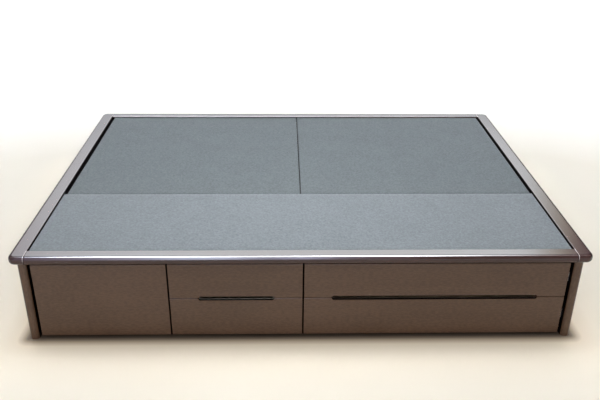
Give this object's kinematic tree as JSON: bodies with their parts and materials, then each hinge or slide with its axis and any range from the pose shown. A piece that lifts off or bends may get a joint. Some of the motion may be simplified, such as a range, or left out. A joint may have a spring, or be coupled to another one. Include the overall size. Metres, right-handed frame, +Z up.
{
  "type": "tatami platform bed",
  "caption": "Low platform bed with a sunk felted deck in a rounded rim, lift-up lids over storage wells and stacked drawers with grip slots along one long side.",
  "frame": {"origin": "centre of the bed's outline on the floor", "axes": "+X along the length from head to foot, -Y out of the drawer side, +Z up"},
  "size_m": [2.066, 1.508, 0.364],
  "materials": {
    "brown_laminate": "satin foil with a very fine grain, dark brown",
    "rim_wrap": "glossy wrapped moulding, purple brown",
    "grey_felt": "matt pressed felt, blue grey",
    "pale_board": "raw pale board",
    "drawer_board": "pale foiled board",
    "runner_steel": "zinc plated rolled steel",
    "nylon": "natural nylon"
  },
  "bodies": {
    "carcass": {"head_end_panel": "brown_laminate", "foot_end_panel": "brown_laminate", "back_panel": "brown_laminate", "long_partition": "brown_laminate", "cross_partition": "brown_laminate", "lid_bridge": "brown_laminate", "plain_front": "brown_laminate", "head_divider": "brown_laminate", "middle_divider": "brown_laminate", "front_top_rail": "brown_laminate", "front_bottom_rail": "brown_laminate", "head_well_floor": "pale_board", "foot_well_floor": "pale_board", "floor_bearers": "pale_board", "deck_cleats": "brown_laminate", "front_rim_rail": "rim_wrap", "back_rim_rail": "rim_wrap", "head_rim_rail": "rim_wrap", "foot_rim_rail": "rim_wrap", "deck_board": "pale_board", "deck_felt": "grey_felt", "lid_pivot_pins": "runner_steel", "carcass_runners": "runner_steel"},
    "head_lid": {"head_lid_board": "pale_board", "head_lid_felt": "grey_felt", "head_lid_battens": "pale_board", "head_lid_bushes": "nylon"},
    "foot_lid": {"foot_lid_board": "pale_board", "foot_lid_felt": "grey_felt", "foot_lid_battens": "pale_board", "foot_lid_bushes": "nylon"},
    "upper_narrow_drawer": {"upper_narrow_front": "brown_laminate", "upper_narrow_left_side": "drawer_board", "upper_narrow_right_side": "drawer_board", "upper_narrow_back": "drawer_board", "upper_narrow_bottom": "drawer_board", "upper_narrow_drawer_runners": "runner_steel"},
    "upper_narrow_middle": {"upper_narrow_middle_runners": "runner_steel"},
    "lower_narrow_drawer": {"lower_narrow_front": "brown_laminate", "lower_narrow_left_side": "drawer_board", "lower_narrow_right_side": "drawer_board", "lower_narrow_back": "drawer_board", "lower_narrow_bottom": "drawer_board", "lower_narrow_drawer_runners": "runner_steel"},
    "lower_narrow_middle": {"lower_narrow_middle_runners": "runner_steel"},
    "upper_wide_drawer": {"upper_wide_front": "brown_laminate", "upper_wide_left_side": "drawer_board", "upper_wide_right_side": "drawer_board", "upper_wide_back": "drawer_board", "upper_wide_bottom": "drawer_board", "upper_wide_drawer_runners": "runner_steel"},
    "upper_wide_middle": {"upper_wide_middle_runners": "runner_steel"},
    "lower_wide_drawer": {"lower_wide_front": "brown_laminate", "lower_wide_left_side": "drawer_board", "lower_wide_right_side": "drawer_board", "lower_wide_back": "drawer_board", "lower_wide_bottom": "drawer_board", "lower_wide_drawer_runners": "runner_steel"},
    "lower_wide_middle": {"lower_wide_middle_runners": "runner_steel"}
  },
  "joints": [
    {"name": "upper_narrow_slide", "type": "slide", "parent": "carcass", "child": "upper_narrow_drawer", "axis": [0, -1, 0], "range_m": [0, 0.44]},
    {"name": "upper_narrow_middle_slide", "type": "slide", "parent": "carcass", "child": "upper_narrow_middle", "axis": [0, -1, 0], "range_m": [0, 0.22]},
    {"name": "lower_narrow_slide", "type": "slide", "parent": "carcass", "child": "lower_narrow_drawer", "axis": [0, -1, 0], "range_m": [0, 0.44]},
    {"name": "lower_narrow_middle_slide", "type": "slide", "parent": "carcass", "child": "lower_narrow_middle", "axis": [0, -1, 0], "range_m": [0, 0.22]},
    {"name": "upper_wide_slide", "type": "slide", "parent": "carcass", "child": "upper_wide_drawer", "axis": [0, -1, 0], "range_m": [0, 0.44]},
    {"name": "upper_wide_middle_slide", "type": "slide", "parent": "carcass", "child": "upper_wide_middle", "axis": [0, -1, 0], "range_m": [0, 0.22]},
    {"name": "lower_wide_slide", "type": "slide", "parent": "carcass", "child": "lower_wide_drawer", "axis": [0, -1, 0], "range_m": [0, 0.44]},
    {"name": "lower_wide_middle_slide", "type": "slide", "parent": "carcass", "child": "lower_wide_middle", "axis": [0, -1, 0], "range_m": [0, 0.22]},
    {"name": "head_lid_hinge", "type": "hinge", "parent": "carcass", "child": "head_lid", "pos_m": [-0.016, 0.233, 0.349], "axis": [0, 1, 0], "range_deg": [0, 88]},
    {"name": "foot_lid_hinge", "type": "hinge", "parent": "carcass", "child": "foot_lid", "pos_m": [0.02, 0.233, 0.349], "axis": [0, -1, 0], "range_deg": [0, 88]}
  ],
  "couplings": [
    {"joint": "upper_narrow_middle_slide", "follows": "upper_narrow_slide", "ratio": 0.5},
    {"joint": "lower_narrow_middle_slide", "follows": "lower_narrow_slide", "ratio": 0.5},
    {"joint": "upper_wide_middle_slide", "follows": "upper_wide_slide", "ratio": 0.5},
    {"joint": "lower_wide_middle_slide", "follows": "lower_wide_slide", "ratio": 0.5}
  ]
}
